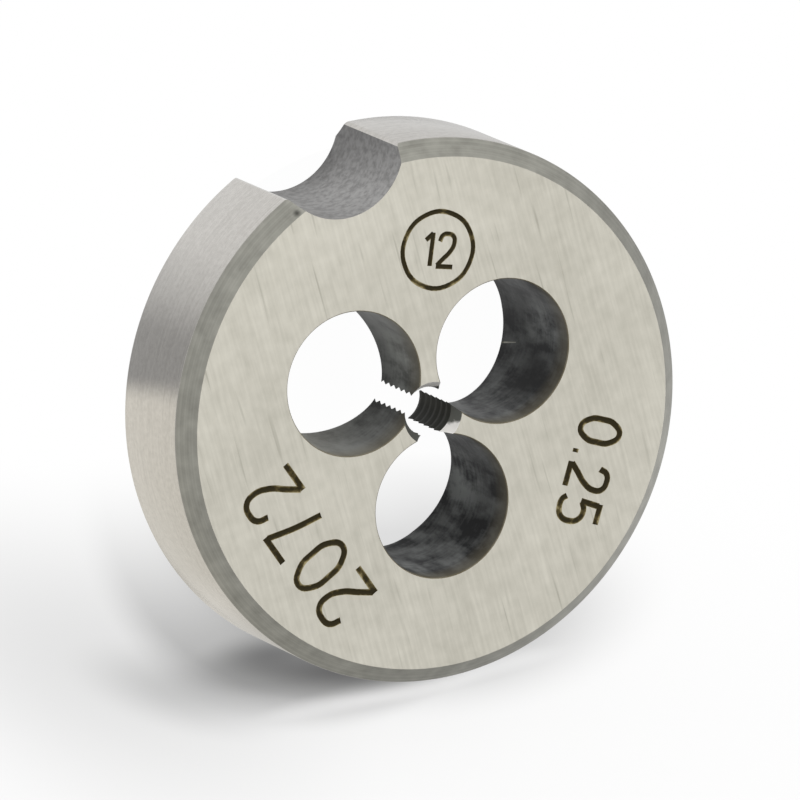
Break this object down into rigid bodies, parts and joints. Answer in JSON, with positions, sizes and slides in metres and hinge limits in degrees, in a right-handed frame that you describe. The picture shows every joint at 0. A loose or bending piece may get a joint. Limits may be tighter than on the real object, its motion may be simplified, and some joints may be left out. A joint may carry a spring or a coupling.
{
  "type": "threading die",
  "caption": "Round one-piece threading die with three chip holes around a small bore, chamfered rims and a half-round clamping notch.",
  "frame": {"origin": "centre of the back face, on the axis of the thread", "axes": "+Z along the thread's axis, from the back face to the marked face; +Y towards the middle of the clamping notch"},
  "size_m": [0.012, 0.0118, 0.0032],
  "materials": {
    "hardened_steel": "ground faces, turned rim and dark oxide in the chip holes"
  },
  "bodies": {
    "root": {"die_body": "hardened_steel"}
  },
  "joints": []
}
